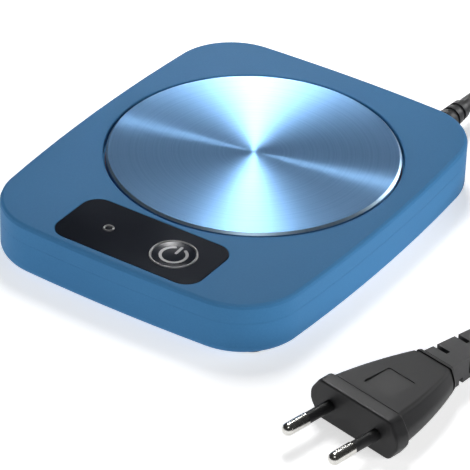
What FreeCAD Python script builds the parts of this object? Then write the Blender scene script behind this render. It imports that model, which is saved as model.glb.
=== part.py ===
import FreeCAD, Part
import math
import os
import re

import Sketcher
from FreeCAD import Placement, Rotation, Vector

# Electric mug warmer. Origin on the table under the middle of the housing, +Z up, +Y to the back.
# Every size is in millimetres.

SIZES = {
    # Housing outline: rounded corners and gently bowed sides
    "body_width": 111.5, "body_length": 136.5, "corner_radius": 21.6,
    "flank_bow_radius": 590.0, "end_bow_radius": 650.0,
    "foot_height": 1.5, "lower_height": 11.5, "upper_height": 6.5,
    "top_edge_radius": 1.9, "bottom_edge_radius": 2.9,
    "wall": 2.2, "roof": 2.4, "floor_thickness": 2.0,
    "lip_height": 1.5, "lip_thickness": 1.2, "lip_gap": 0.15, "lip_bond": 0.4,
    # Heating plate, its seat and the heater under it
    "plate_y": 9.2, "plate_radius": 47.1, "plate_gap": 0.8, "plate_thickness": 3.0,
    "plate_proud": 0.5, "plate_chamfer": 0.7,
    "gasket_thickness": 0.5, "gasket_width": 2.4, "gasket_margin": 0.4,
    "ledge_width": 3.4, "ledge_thickness": 2.0, "collar_wall": 1.8,
    "element_radius": 34.0, "element_thickness": 1.2, "pad_radius": 36.0,
    "stud_inset": 4.5, "stud_radius": 2.6, "stud_hole_depth": 4.0,
    "clamp_overlap": 2.5, "clamp_thickness": 0.8,
    "clamp_screw_radius": 1.25, "clamp_screw_length": 4.0,
    "clamp_head_radius": 2.3, "clamp_head_height": 1.4,
    "lead_hole_radius": 4.0, "lead_hole_y": -16.0,
    "cutout_length": 17.0, "cutout_width": 6.5, "cutout_height": 3.2, "cutout_x": 19.0,
    "sensor_radius": 2.4, "sensor_height": 3.5, "sensor_x": -16.0,
    # Control panel, button and indicator
    "panel_y": -52.7, "panel_width": 53.3, "panel_length": 24.3, "panel_corner": 5.9,
    "panel_thickness": 1.2, "panel_gap": 0.1,
    "control_x": 12.1, "control_y": -53.0,
    "cap_radius": 6.7, "cap_gap": 0.15, "cap_proud": 0.1, "cap_dish": 0.45,
    "cap_flange_width": 1.6, "cap_flange_thickness": 1.2, "cap_stem_radius": 2.2,
    "ring_width": 0.7, "ring_proud": 0.25, "ring_round": 0.2,
    "symbol_radius": 4.1, "symbol_stroke": 0.95, "symbol_depth": 0.35,
    "symbol_gap_angle": 27.0, "bar_start": 0.9, "bar_end": 4.9,
    "button_travel": 0.5,
    "lens_radius": 1.1, "lens_ring_width": 0.7, "lens_flange_radius": 2.2, "lens_flange": 0.8,
    # Circuit board and what is on it
    "board_width": 66.0, "board_length": 22.0, "board_thickness": 1.6, "board_standoff": 2.5,
    "board_screw_inset": 3.0, "board_screw_y": 8.3, "board_post_radius": 2.4,
    "board_screw_radius": 1.0, "board_screw_length": 3.8,
    "board_head_radius": 1.9, "board_head_height": 1.2,
    "switch_side": 12.0, "switch_height": 4.3, "switch_floor": 2.1,
    "dome_radius": 2.9, "dome_thickness": 0.15,
    "plunger_radius": 3.3, "plunger_height": 2.8,
    "led_radius": 1.5, "led_flange": 0.4,
    "film_length": 13.0, "film_width": 5.0, "film_height": 7.0, "film_x": 20.0, "film_y": -44.2,
    "can_radius": 3.15, "can_height": 7.2, "can_x": 24.5, "can_y": -54.5,
    "triac_width": 8.0, "triac_thickness": 2.8, "triac_height": 8.0,
    "triac_x": 0.0, "triac_y": -46.0,
    "fuse_radius": 1.8, "fuse_length": 8.0, "fuse_x": -13.0, "fuse_y": -45.5,
    "chip_length": 6.0, "chip_width": 4.0, "chip_height": 1.6, "chip_x": 0.0, "chip_y": -58.0,
    "terminal_width": 10.0, "terminal_depth": 7.0, "terminal_height": 7.0,
    "terminal_x": -26.0, "terminal_y": -53.0,
    "socket_side": 4.0, "socket_x": -6.5, "socket_y": -50.0,
    # Feet and the screws that close the housing
    "foot_inset_x": 13.75, "foot_inset_y": 13.85, "foot_radius": 5.5, "foot_seat": 0.8, "foot_round": 0.5,
    "post_radius": 4.4, "post_head_depth": 3.4, "post_head_radius": 3.0,
    "upper_post_radius": 3.2, "case_screw_radius": 1.4, "case_screw_length": 11.0,
    "case_head_radius": 2.7, "case_head_height": 1.8,
    # Fits
    "thread_gap": 0.05, "screw_gap": 0.3, "hole_margin": 0.4,
    # Mains lead, strain relief and the clamp inside
    "cord_diameter": 5.2, "cord_x": 31.0, "cord_z": 8.3, "cord_bore_gap": 0.05,
    "boot_reach": 20.0, "boot_neck": 3.8, "boot_root": 4.6, "boot_tip": 3.3,
    "boot_flange_radius": 4.6, "boot_flange_thickness": 1.8, "boot_seat_gap": 0.35,
    "sheath_length": 9.0, "bar_width": 5.0, "bar_height": 2.4, "bar_screw_x": 5.0,
    "bar_post_radius": 2.2, "bar_inset": 5.6,
    "groove_count": 4.0, "groove_start": 4.0, "groove_step": 4.0, "groove_width": 1.4,
    "groove_depth": 0.6,
    "core_radius": 0.9, "core_spacing": 2.6,
    # Put-away coil
    "coil_x": 100.0, "coil_y": 84.0, "coil_outer": 38.5, "coil_step": 5.9,
    # Two-pin plug, lying on the table
    "plug_front_x": 92.0, "plug_front_y": -77.0, "plug_turn": -12.1,
    "plug_width": 35.3, "plug_height": 13.7, "flange_depth": 5.5, "plug_depth": 36.0,
    "shoulder_width": 32.6, "shoulder_height": 12.9, "plug_rear_width": 15.5,
    "plug_rear_height": 10.0, "plug_bevel": 3.4, "waist_pull": 1.2,
    "relief_length": 22.0, "relief_width": 11.5, "relief_height": 8.6,
    "relief_tip_width": 9.0, "relief_tip_height": 7.0, "slot_count": 4.0,
    "slot_width": 1.6, "slot_depth": 2.0,
    "pin_spacing": 18.6, "pin_radius": 2.0, "pin_length": 19.0, "pin_root": 6.0,
    "sleeve_radius": 1.8, "sleeve_core": 1.45, "sleeve_length": 10.0,
}

# Levels and edges that follow from the sizes above
LEVELS = {
    "under_z": "foot_height",
    "floor_z": "under_z + floor_thickness",
    "parting_z": "foot_height + lower_height",
    "top_z": "parting_z + upper_height",
    "roof_z": "top_z - roof",
    "half_width": "body_width / 2",
    "half_length": "body_length / 2",
    "plate_z": "top_z + plate_proud - plate_thickness",
    "ledge_z": "plate_z - gasket_thickness",
    "clamp_z": "ledge_z - ledge_thickness",
    "recess_radius": "plate_radius + plate_gap",
    "ledge_radius": "recess_radius - ledge_width",
    "clamp_radius": "ledge_radius + clamp_overlap",
    "stud_circle": "ledge_radius - stud_inset",
    "clamp_under_z": "clamp_z - clamp_thickness",
    "panel_seat_z": "top_z - panel_thickness",
    "led_top_z": "roof_z - lens_flange",
    "bore_radius": "cap_radius + cap_gap",
    "ring_radius": "bore_radius + ring_width",
    "lens_ring_radius": "lens_radius + lens_ring_width",
    "board_z": "floor_z + board_standoff",
    "board_top_z": "board_z + board_thickness",
    "pocket_z": "board_top_z + switch_floor",
    "plunger_z": "pocket_z + dome_thickness + thread_gap + button_travel",
    "stem_z": "plunger_z + plunger_height",
    "flange_z": "roof_z - cap_flange_thickness",
    "board_screw_x": "board_width / 2 - board_screw_inset",
    "foot_x": "half_width - foot_inset_x",
    "foot_y": "half_length - foot_inset_y",
    "foot_top_z": "under_z + foot_seat",
    "head_seat_z": "under_z + post_head_depth",
    "wall_y": "half_length - cord_x * cord_x / (2 * end_bow_radius)",
    "inner_wall_y": "wall_y - wall",
    "cord_radius": "cord_diameter / 2",
    "sheath_y": "inner_wall_y - boot_flange_thickness",
    "core_y": "sheath_y - sheath_length",
    "bar_y": "inner_wall_y - bar_inset",
    "plug_z": "plug_height / 2",
}

document = FreeCAD.newDocument("MugWarmer")
sheet = document.addObject("Spreadsheet::Sheet", "Sizes")
for row, (alias, value) in enumerate(SIZES.items(), start=1):
    sheet.set(f"A{row}", alias)
    sheet.set(f"B{row}", str(value))
    sheet.setAlias(f"B{row}", alias)
document.recompute()

WORD = re.compile("[a-z_]+")
gauge = document.addObject("App::FeaturePython", "Gauge")
gauge.addProperty("App::PropertyFloat", "Reading")
PIECES = []


def bound(formula):
    """A formula of sizes and levels, written out over the sheet's cells."""
    def expand(match):
        word = match.group(0)
        if word in LEVELS:
            return "(" + bound(LEVELS[word]) + ")"
        return "Sizes." + word if word in SIZES else word
    return WORD.sub(expand, str(formula))


def bind(target, prop, formula):
    target.setExpression(prop, bound(formula))


def number(formula):
    """The value that a formula has now."""
    bind(gauge, "Reading", formula)
    gauge.recompute()
    return gauge.Reading


def keep(label, shape_object):
    """Names a finished sub-part and puts it on the list to be written."""
    shape_object.Label = label
    PIECES.append(shape_object)
    return shape_object


def place(target, spot):
    for axis, formula in zip("xyz", spot):
        bind(target, "Placement.Base." + axis, formula)
    return target


# Sketches and features

def new_sketch(body, plane="XY_Plane", offset="0"):
    sketch = body.newObject("Sketcher::SketchObject", body.Name + "Sketch")
    support = next(item for item in body.Origin.OriginFeatures if item.Role == plane)
    sketch.AttachmentSupport = [(support, "")]
    sketch.MapMode = "FlatFace"
    bind(sketch, "AttachmentOffset.Base.z", offset)
    return sketch


def drive(sketch, kind, *where, formula):
    """Adds one dimension to a sketch and ties it to a formula."""
    index = sketch.addConstraint(Sketcher.Constraint(kind, *where, number(formula)))
    bind(sketch, f"Constraints[{index}]", formula)


def pin_point(sketch, item, end, x, y):
    drive(sketch, "DistanceX", -1, 1, item, end, formula=x)
    drive(sketch, "DistanceY", -1, 1, item, end, formula=y)


def add_circle(sketch, x, y, radius):
    centre = Vector(number(x), number(y), 0)
    item = sketch.addGeometry(Part.Circle(centre, Vector(0, 0, 1), number(radius)), False)
    pin_point(sketch, item, 3, x, y)
    drive(sketch, "Radius", item, formula=radius)


def add_polygon(sketch, corners):
    points = [Vector(number(x), number(y), 0) for x, y in corners]
    first = sketch.GeometryCount
    for start, end in zip(points, points[1:] + points[:1]):
        sketch.addGeometry(Part.LineSegment(start, end), False)
    for index, (x, y) in enumerate(corners):
        following = (index + 1) % len(corners)
        joint = Sketcher.Constraint("Coincident", first + index, 2, first + following, 1)
        sketch.addConstraint(joint)
        pin_point(sketch, first + index, 1, x, y)


def add_rectangle(sketch, x, y, width, length):
    west, east = f"{x} - ({width}) / 2", f"{x} + ({width}) / 2"
    south, north = f"{y} - ({length}) / 2", f"{y} + ({length}) / 2"
    add_polygon(sketch, [(west, south), (east, south), (east, north), (west, north)])


def add_outline(sketch, inset="0"):
    """The housing's outline, eight tangent arcs, moved inwards by the inset."""
    flank_x, end_y = number("half_width - flank_bow_radius"), number("half_length - end_bow_radius")
    flank_reach = number("flank_bow_radius - corner_radius")
    end_reach = number("end_bow_radius - corner_radius")
    span = math.hypot(flank_x, end_y)
    along = (flank_reach ** 2 - end_reach ** 2 + span ** 2) / (2 * span)
    across = math.sqrt(flank_reach ** 2 - along ** 2)
    towards = Vector(-flank_x / span, end_y / span, 0)
    corner = Vector(flank_x, 0, 0) + towards * along - Vector(towards.y, -towards.x, 0) * across
    flank_turn = math.atan2(corner.y, corner.x - flank_x)
    end_turn = math.atan2(corner.y - end_y, corner.x)
    half_turn, quarter = math.pi, math.pi / 2
    flank, end = f"flank_bow_radius - ({inset})", f"end_bow_radius - ({inset})"
    round_radius = f"corner_radius - ({inset})"
    arcs = [
        (flank_x, 0, flank, -flank_turn, flank_turn),
        (corner.x, corner.y, round_radius, flank_turn, end_turn),
        (0, end_y, end, end_turn, half_turn - end_turn),
        (-corner.x, corner.y, round_radius, half_turn - end_turn, half_turn - flank_turn),
        (-flank_x, 0, flank, half_turn - flank_turn, half_turn + flank_turn),
        (-corner.x, -corner.y, round_radius, half_turn + flank_turn, half_turn + end_turn),
        (0, -end_y, end, half_turn + end_turn, 2 * half_turn - end_turn),
        (corner.x, -corner.y, round_radius, 2 * half_turn - end_turn, 2 * half_turn - flank_turn),
    ]
    first = sketch.GeometryCount
    for x, y, radius, start, stop in arcs:
        circle = Part.Circle(Vector(x, y, 0), Vector(0, 0, 1), number(radius))
        sketch.addGeometry(Part.ArcOfCircle(circle, start, stop), False)
    for index in range(len(arcs)):
        following = (index + 1) % len(arcs)
        tangent = Sketcher.Constraint("Tangent", first + index, 2, first + following, 1)
        sketch.addConstraint(tangent)
    for index, arc in enumerate(arcs):
        drive(sketch, "Radius", first + index, formula=arc[2])
    centres = {
        0: ("half_width - flank_bow_radius", "0"), 4: ("flank_bow_radius - half_width", "0"),
        2: ("0", "half_length - end_bow_radius"), 6: ("0", "end_bow_radius - half_length"),
    }
    for index, (x, y) in centres.items():
        pin_point(sketch, first + index, 3, x, y)


def pad(body, sketch, depth):
    feature = body.newObject("PartDesign::Pad", body.Name + "Pad")
    feature.Profile = sketch
    bind(feature, "Length", depth)
    document.recompute()
    return feature


def pocket(body, sketch, depth):
    """Cuts downwards from the sketch and makes sure that something was cut."""
    before = body.Shape.Volume
    feature = body.newObject("PartDesign::Pocket", body.Name + "Pocket")
    feature.Profile = sketch
    bind(feature, "Length", depth)
    document.recompute()
    assert body.Shape.Volume < before, body.Name + " was not cut"
    return feature


def revolve(body, sketch):
    feature = body.newObject("PartDesign::Revolution", body.Name + "Turned")
    feature.Profile = sketch
    feature.ReferenceAxis = (sketch, ["V_Axis"])
    feature.Angle = 360.0
    document.recompute()
    return feature


def edges_at(shape, chosen):
    """Names of the edges whose middle satisfies a test."""
    names = []
    for index, edge in enumerate(shape.Edges, start=1):
        if chosen(edge):
            names.append(f"Edge{index}")
    return names


def fillet(body, base, names, radius):
    feature = body.newObject("PartDesign::Fillet", body.Name + "Fillet")
    feature.Base = (base, names)
    bind(feature, "Radius", radius)
    document.recompute()
    return feature


def flat_edges(shape, level):
    """Edges that lie wholly at one level."""
    box = lambda edge: edge.BoundBox
    return edges_at(shape, lambda edge: abs(box(edge).ZMin - level) < 1e-4
                    and abs(box(edge).ZMax - level) < 1e-4)


def turned_body(label, profile, spot):
    """A piece turned about its own upright axis, from corners of radius and height."""
    body = document.addObject("PartDesign::Body", label)
    sketch = new_sketch(body, "XZ_Plane")
    add_polygon(sketch, profile)
    revolve(body, sketch)
    return place(body, spot)


def cylinder(label, radius, height, spot):
    rod = document.addObject("Part::Cylinder", label)
    bind(rod, "Radius", radius)
    bind(rod, "Height", height)
    return place(rod, spot)


def block(label, width, length, height, spot):
    """A box that stands centred on its spot."""
    x, y, z = spot
    box = document.addObject("Part::Box", label)
    bind(box, "Length", width)
    bind(box, "Width", length)
    bind(box, "Height", height)
    return place(box, (f"{x} - ({width}) / 2", f"{y} - ({length}) / 2", z))


def joined(label, parts):
    fusion = document.addObject("Part::MultiFuse", label)
    fusion.Shapes = parts
    return fusion


def cut(label, base, tools):
    result = document.addObject("Part::Cut", label)
    result.Base = base
    result.Tool = tools[0] if len(tools) == 1 else joined(label + "Tools", tools)
    return result


def grouped(label, solids):
    """Like pieces that are kept apart as separate solids of one sub-part."""
    group = document.addObject("Part::Compound", label)
    group.Links = solids
    return group


def signs(x, y):
    """The four mirror places of one point."""
    return [(f"{a} * ({x})", f"{b} * ({y})") for a in (-1, 1) for b in (-1, 1)]


# Housing

FOOT_SPOTS = signs("foot_x", "foot_y")
FOOT_NAMES = ["front_left", "back_left", "front_right", "back_right"]
BOARD_SPOTS = [(x, f"panel_y + ({y})") for x, y in signs("board_screw_x", "board_screw_y")]
CLAMP_BAR_SPOTS = [(f"cord_x + {side} * bar_screw_x", "bar_y") for side in (-1, 1)]


def make_top_shell():
    body = document.addObject("PartDesign::Body", "top_shell")
    sketch = new_sketch(body, offset="parting_z")
    add_outline(sketch)
    outer = pad(body, sketch, "upper_height")
    fillet(body, outer, flat_edges(outer.Shape, number("top_z")), "top_edge_radius")

    sketch = new_sketch(body, offset="roof_z")
    add_outline(sketch, "wall")
    pocket(body, sketch, "roof_z - parting_z")

    lip_inner = "wall + lip_gap + lip_thickness"
    sketch = new_sketch(body, offset="parting_z")
    add_outline(sketch, "wall - lip_bond")
    add_outline(sketch, lip_inner)
    pad(body, sketch, "lip_height")
    sketch = new_sketch(body, offset="parting_z - lip_height")
    add_outline(sketch, "wall + lip_gap")
    add_outline(sketch, lip_inner)
    pad(body, sketch, "lip_height")

    sketch = new_sketch(body, offset="clamp_z")
    add_circle(sketch, "0", "plate_y", "recess_radius + collar_wall")
    pad(body, sketch, "roof_z - clamp_z")
    sketch = new_sketch(body, offset="top_z")
    add_circle(sketch, "0", "plate_y", "recess_radius")
    pocket(body, sketch, "top_z - ledge_z")
    sketch = new_sketch(body, offset="ledge_z")
    add_circle(sketch, "0", "plate_y", "ledge_radius")
    pocket(body, sketch, "ledge_thickness")

    sketch = new_sketch(body, offset="parting_z")
    for x, y in FOOT_SPOTS:
        add_circle(sketch, x, y, "upper_post_radius")
    pad(body, sketch, "roof_z - parting_z")
    sketch = new_sketch(body, offset="roof_z")
    for x, y in FOOT_SPOTS:
        add_circle(sketch, x, y, "case_screw_radius + thread_gap")
    pocket(body, sketch, "roof_z - parting_z")

    sketch = new_sketch(body, offset="top_z")
    add_rectangle(sketch, "0", "panel_y", "panel_width + 2 * panel_gap", "panel_length + 2 * panel_gap")
    seat = pocket(body, sketch, "panel_thickness")
    corners = edges_at(seat.Shape, lambda edge: is_panel_corner(edge))
    fillet(body, seat, corners, "panel_corner + panel_gap")
    sketch = new_sketch(body, offset="panel_seat_z")
    add_circle(sketch, "control_x", "control_y", "bore_radius")
    add_circle(sketch, "-control_x", "control_y", "lens_radius + thread_gap")
    pocket(body, sketch, "panel_seat_z - roof_z")

    notch_width = "2 * (boot_flange_radius + hole_margin)"
    sketch = new_sketch(body, offset="parting_z + lip_height")
    add_rectangle(sketch, "cord_x", "inner_wall_y - boot_flange_thickness", notch_width,
                  "2 * boot_flange_thickness")
    pocket(body, sketch, "2 * lip_height")
    return keep("top_shell", body)


def is_panel_corner(edge):
    """An upright edge at a corner of the panel's recess."""
    box = edge.BoundBox
    upright = box.XLength < 1e-4 and box.YLength < 1e-4
    reach_x = number("panel_width / 2 + panel_gap")
    reach_y = number("panel_length / 2 + panel_gap")
    at_x = abs(abs(box.XMin) - reach_x) < 1e-4
    at_y = abs(abs(box.YMin - number("panel_y")) - reach_y) < 1e-4
    return upright and at_x and at_y


def make_bottom_cover():
    body = document.addObject("PartDesign::Body", "bottom_cover")
    sketch = new_sketch(body, offset="under_z")
    add_outline(sketch)
    outer = pad(body, sketch, "lower_height")
    fillet(body, outer, flat_edges(outer.Shape, number("under_z")), "bottom_edge_radius")
    sketch = new_sketch(body, offset="parting_z")
    add_outline(sketch, "wall")
    pocket(body, sketch, "parting_z - floor_z")

    sketch = new_sketch(body, offset="under_z + foot_seat")
    for x, y in FOOT_SPOTS:
        add_circle(sketch, x, y, "post_radius")
    pad(body, sketch, "parting_z - under_z - foot_seat")
    sketch = new_sketch(body, offset="floor_z")
    for x, y in BOARD_SPOTS:
        add_circle(sketch, x, y, "board_post_radius")
    pad(body, sketch, "board_standoff")
    sketch = new_sketch(body, offset="floor_z")
    for x, y in CLAMP_BAR_SPOTS:
        add_circle(sketch, x, y, "bar_post_radius")
    pad(body, sketch, "cord_z + cord_radius - floor_z")

    sketch = new_sketch(body, offset="parting_z")
    for x, y in FOOT_SPOTS:
        add_circle(sketch, x, y, "case_screw_radius + screw_gap")
    pocket(body, sketch, "parting_z - under_z")
    sketch = new_sketch(body, offset="head_seat_z")
    for x, y in FOOT_SPOTS:
        add_circle(sketch, x, y, "post_head_radius")
    pocket(body, sketch, "post_head_depth")
    sketch = new_sketch(body, offset="foot_top_z")
    for x, y in FOOT_SPOTS:
        add_circle(sketch, x, y, "foot_radius + thread_gap")
    pocket(body, sketch, "foot_seat")
    sketch = new_sketch(body, offset="board_z")
    for x, y in BOARD_SPOTS:
        add_circle(sketch, x, y, "board_screw_radius + thread_gap")
    pocket(body, sketch, "board_standoff + floor_thickness / 2")
    sketch = new_sketch(body, offset="cord_z + cord_radius")
    for x, y in CLAMP_BAR_SPOTS:
        add_circle(sketch, x, y, "board_screw_radius + thread_gap")
    pocket(body, sketch, "cord_z + cord_radius - floor_z")

    sketch = new_sketch(body, "XZ_Plane", "-half_length")
    add_circle(sketch, "cord_x", "cord_z", "boot_neck")
    feature = pocket_back(body, sketch)
    assert feature.Shape.isValid()
    return keep("bottom_cover", body)


def pocket_back(body, sketch):
    """The lead's round hole, cut forwards through the back wall."""
    before = body.Shape.Volume
    feature = body.newObject("PartDesign::Pocket", "LeadHole")
    feature.Profile = sketch
    bind(feature, "Length", "2 * wall")
    document.recompute()
    if abs(body.Shape.Volume - before) < 1e-3:
        feature.Reversed = True
        document.recompute()
    assert body.Shape.Volume < before - 1
    return feature


def make_feet():
    for name, (x, y) in zip(FOOT_NAMES, FOOT_SPOTS):
        profile = [
            ("0", "0"), ("foot_radius - foot_round", "0"), ("foot_radius", "foot_round"),
            ("foot_radius", "foot_top_z"), ("0", "foot_top_z"),
        ]
        keep("foot_" + name, turned_body("foot_" + name, profile, (x, y, "0")))


def screw(label, head_radius, head_height, shank_radius, shank_length, spot, head_down=True):
    """A pan-head screw, its spot on the face under the head."""
    x, y, z = spot
    if head_down:
        head = cylinder(label + "Head", head_radius, head_height, (x, y, f"{z} - ({head_height})"))
        shank = cylinder(label + "Shank", shank_radius, shank_length, spot)
    else:
        head = cylinder(label + "Head", head_radius, head_height, spot)
        shank = cylinder(label + "Shank", shank_radius, shank_length, (x, y, f"{z} - ({shank_length})"))
    return joined(label, [head, shank])


def make_case_screws():
    screws = []
    for name, (x, y) in zip(FOOT_NAMES, FOOT_SPOTS):
        screws.append(screw("CaseScrew_" + name, "case_head_radius", "case_head_height",
                            "case_screw_radius", "case_screw_length", (x, y, "head_seat_z")))
    keep("housing_screws", grouped("housing_screws", screws))


# Heater

STUD_SPOTS = [
    (f"stud_circle * cos({angle})", f"plate_y + stud_circle * sin({angle})")
    for angle in (30, 150, 270)
]


def make_plate():
    edge = "plate_radius - plate_chamfer"
    body = document.addObject("PartDesign::Body", "heating_plate")
    sketch = new_sketch(body, "XZ_Plane")
    add_polygon(sketch, [
        ("0", "plate_z"), ("plate_radius", "plate_z"),
        ("plate_radius", "top_z + plate_proud - plate_chamfer"), (edge, "top_z + plate_proud"),
        ("0", "top_z + plate_proud"),
    ])
    revolve(body, sketch)
    sketch = new_sketch(body, offset="clamp_z")
    for x, y in STUD_SPOTS:
        add_circle(sketch, x, f"{y} - plate_y", "stud_radius")
    pad(body, sketch, "plate_z - clamp_z")
    sketch = new_sketch(body, offset="clamp_z + stud_hole_depth")
    for x, y in STUD_SPOTS:
        add_circle(sketch, x, f"{y} - plate_y", "clamp_screw_radius + thread_gap")
    pocket(body, sketch, "stud_hole_depth")
    place(body, ("0", "plate_y", "0"))
    keep("heating_plate", body)


def make_heater_stack():
    inner, outer = "ledge_radius + gasket_margin", "ledge_radius + gasket_margin + gasket_width"
    gasket = turned_body("plate_gasket", [
        (inner, "ledge_z"), (outer, "ledge_z"), (outer, "plate_z"), (inner, "plate_z"),
    ], ("0", "plate_y", "0"))
    keep("plate_gasket", gasket)
    centre = ("0", "plate_y")
    keep("heating_element", cylinder("heating_element", "element_radius", "element_thickness",
                                     (*centre, "plate_z - element_thickness")))
    pad_disc = cylinder("PadDisc", "pad_radius", "plate_z - element_thickness - clamp_z",
                        (*centre, "clamp_z"))
    pad_hole = cylinder("PadHole", "lead_hole_radius", "plate_thickness",
                        ("0", "plate_y + lead_hole_y", "clamp_z - hole_margin"))
    keep("insulation_pad", cut("insulation_pad", pad_disc, [pad_hole]))
    disc = cylinder("ClampDisc", "clamp_radius", "clamp_thickness", (*centre, "clamp_under_z"))
    holes = [
        cylinder(f"ClampHole{index}", "clamp_screw_radius + screw_gap / 2", "2 * clamp_thickness",
                 (x, y, "clamp_under_z - clamp_thickness / 2"))
        for index, (x, y) in enumerate(STUD_SPOTS)
    ]
    holes.append(cylinder("ClampLeadHole", "lead_hole_radius", "2 * clamp_thickness",
                          ("0", "plate_y + lead_hole_y", "clamp_under_z - clamp_thickness / 2")))
    keep("heater_clamp_plate", cut("heater_clamp_plate", disc, holes))
    screws = [
        screw(f"ClampScrew{index}", "clamp_head_radius", "clamp_head_height", "clamp_screw_radius",
              "clamp_screw_length", (x, y, "clamp_under_z"))
        for index, (x, y) in enumerate(STUD_SPOTS)
    ]
    keep("heater_clamp_screws", grouped("heater_clamp_screws", screws))
    keep("thermal_cutout", block("thermal_cutout", "cutout_length", "cutout_width", "cutout_height",
                                 ("cutout_x", "plate_y", "clamp_under_z - cutout_height")))
    keep("temperature_sensor", cylinder("temperature_sensor", "sensor_radius", "sensor_height",
                                        ("sensor_x", "plate_y", "clamp_under_z - sensor_height")))


# Control panel

def make_panel():
    body = document.addObject("PartDesign::Body", "control_panel")
    sketch = new_sketch(body, offset="panel_seat_z")
    add_rectangle(sketch, "0", "panel_y", "panel_width", "panel_length")
    slab = pad(body, sketch, "panel_thickness")
    upright = edges_at(slab.Shape, lambda edge: edge.BoundBox.ZLength > number("panel_thickness") / 2)
    fillet(body, slab, upright, "panel_corner")
    sketch = new_sketch(body, offset="top_z")
    add_circle(sketch, "control_x", "control_y", "ring_radius + thread_gap")
    add_circle(sketch, "-control_x", "control_y", "lens_ring_radius + thread_gap")
    pocket(body, sketch, "panel_thickness")
    keep("control_panel", body)


def trim_ring(label, inner, outer, spot):
    """A bright ring, rounded on its two upper edges."""
    crown = "panel_thickness + ring_proud"
    profile = [
        (inner, "0"), (outer, "0"), (outer, f"{crown} - ring_round"),
        (f"{outer} - ring_round", crown), (f"{inner} + ring_round", crown),
        (inner, f"{crown} - ring_round"),
    ]
    keep(label, turned_body(label, profile, spot))


def symbol_prism(label, height):
    """The power sign's outline, standing from the bottom of its inlay upwards."""
    radius, half_stroke = number("symbol_radius"), number("symbol_stroke") / 2
    gap = math.radians(number("symbol_gap_angle"))
    up = Vector(0, 0, height)
    ends = [math.pi / 2 - gap, math.pi / 2 + gap - 2 * math.pi]

    def at(distance, angle):
        return Vector(distance * math.cos(angle), distance * math.sin(angle), 0)

    def arc(distance, start, stop):
        return Part.Arc(at(distance, start), at(distance, (start + stop) / 2),
                        at(distance, stop)).toShape()

    start, stop = ends
    outer, inner = radius + half_stroke, radius - half_stroke
    tip = Vector(-math.sin(stop), math.cos(stop), 0) * -half_stroke
    tail = Vector(-math.sin(start), math.cos(start), 0) * half_stroke
    hook = Part.Wire([
        arc(outer, start, stop),
        Part.Arc(at(outer, stop), at(radius, stop) + tip, at(inner, stop)).toShape(),
        arc(inner, stop, start),
        Part.Arc(at(inner, start), at(radius, start) + tail, at(outer, start)).toShape(),
    ])
    low, high = number("bar_start") + half_stroke, number("bar_end") - half_stroke
    side = Vector(half_stroke, 0, 0)
    foot, head = Vector(0, low, 0), Vector(0, high, 0)
    bar = Part.Wire([
        Part.LineSegment(foot + side, head + side).toShape(),
        Part.Arc(head + side, head + Vector(0, half_stroke, 0), head - side).toShape(),
        Part.LineSegment(head - side, foot - side).toShape(),
        Part.Arc(foot - side, foot - Vector(0, half_stroke, 0), foot + side).toShape(),
    ])
    return Part.makeCompound([Part.Face(wire).extrude(up) for wire in (hook, bar)])


def make_button():
    """The dished cap, its flange under the roof and the stem that meets the switch."""
    crown, rim = number("top_z + cap_proud"), number("cap_radius")
    dish = number("cap_dish")
    ball_radius = (rim ** 2 + dish ** 2) / (2 * dish)
    axis = Vector(number("control_x"), number("control_y"), 0)
    flange_radius = rim + number("cap_flange_width")
    cap = Part.makeCylinder(rim, crown - number("roof_z"), axis + Vector(0, 0, number("roof_z")))
    flange = Part.makeCylinder(flange_radius, number("cap_flange_thickness"),
                               axis + Vector(0, 0, number("flange_z")))
    stem = Part.makeCylinder(number("cap_stem_radius"), number("flange_z - stem_z"),
                             axis + Vector(0, 0, number("stem_z")))
    ball = Part.makeSphere(ball_radius, axis + Vector(0, 0, crown - dish + ball_radius))
    inlay_floor = crown - dish - number("symbol_depth")
    prism = symbol_prism("PowerSign", crown + 1 - inlay_floor)
    prism.translate(axis + Vector(0, 0, inlay_floor))
    solid = cap.fuse([flange, stem]).removeSplitter().cut(ball).cut(prism)
    sign = prism.cut(ball).common(Part.makeCylinder(rim, crown - inlay_floor,
                                                    axis + Vector(0, 0, inlay_floor)))
    for label, shape in (("power_button_cap", solid), ("power_symbol", sign)):
        feature = document.addObject("Part::Feature", label)
        feature.Shape = shape
        keep(label, feature)


def make_indicator():
    spot = ("-control_x", "control_y", "0")
    profile = [
        ("0", "led_top_z"), ("lens_flange_radius", "led_top_z"),
        ("lens_flange_radius", "roof_z"), ("lens_radius", "roof_z"),
        ("lens_radius", "top_z"), ("0", "top_z"),
    ]
    keep("indicator_lens", turned_body("indicator_lens", profile, spot))
    body_radius = "led_radius"
    lamp = turned_body("indicator_lamp", [
        ("0", "board_top_z"), (f"{body_radius} + led_flange", "board_top_z"),
        (f"{body_radius} + led_flange", "board_top_z + led_flange"),
        (body_radius, "board_top_z + led_flange"),
        (body_radius, "led_top_z - led_radius"), ("led_radius / 2", "led_top_z - led_flange"),
        ("0", "led_top_z - led_flange"),
    ], spot)
    keep("indicator_lamp", lamp)


# Circuit board

def on_board(label, width, length, height, x, y):
    keep(label, block(label, width, length, height, (x, y, "board_top_z")))


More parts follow.
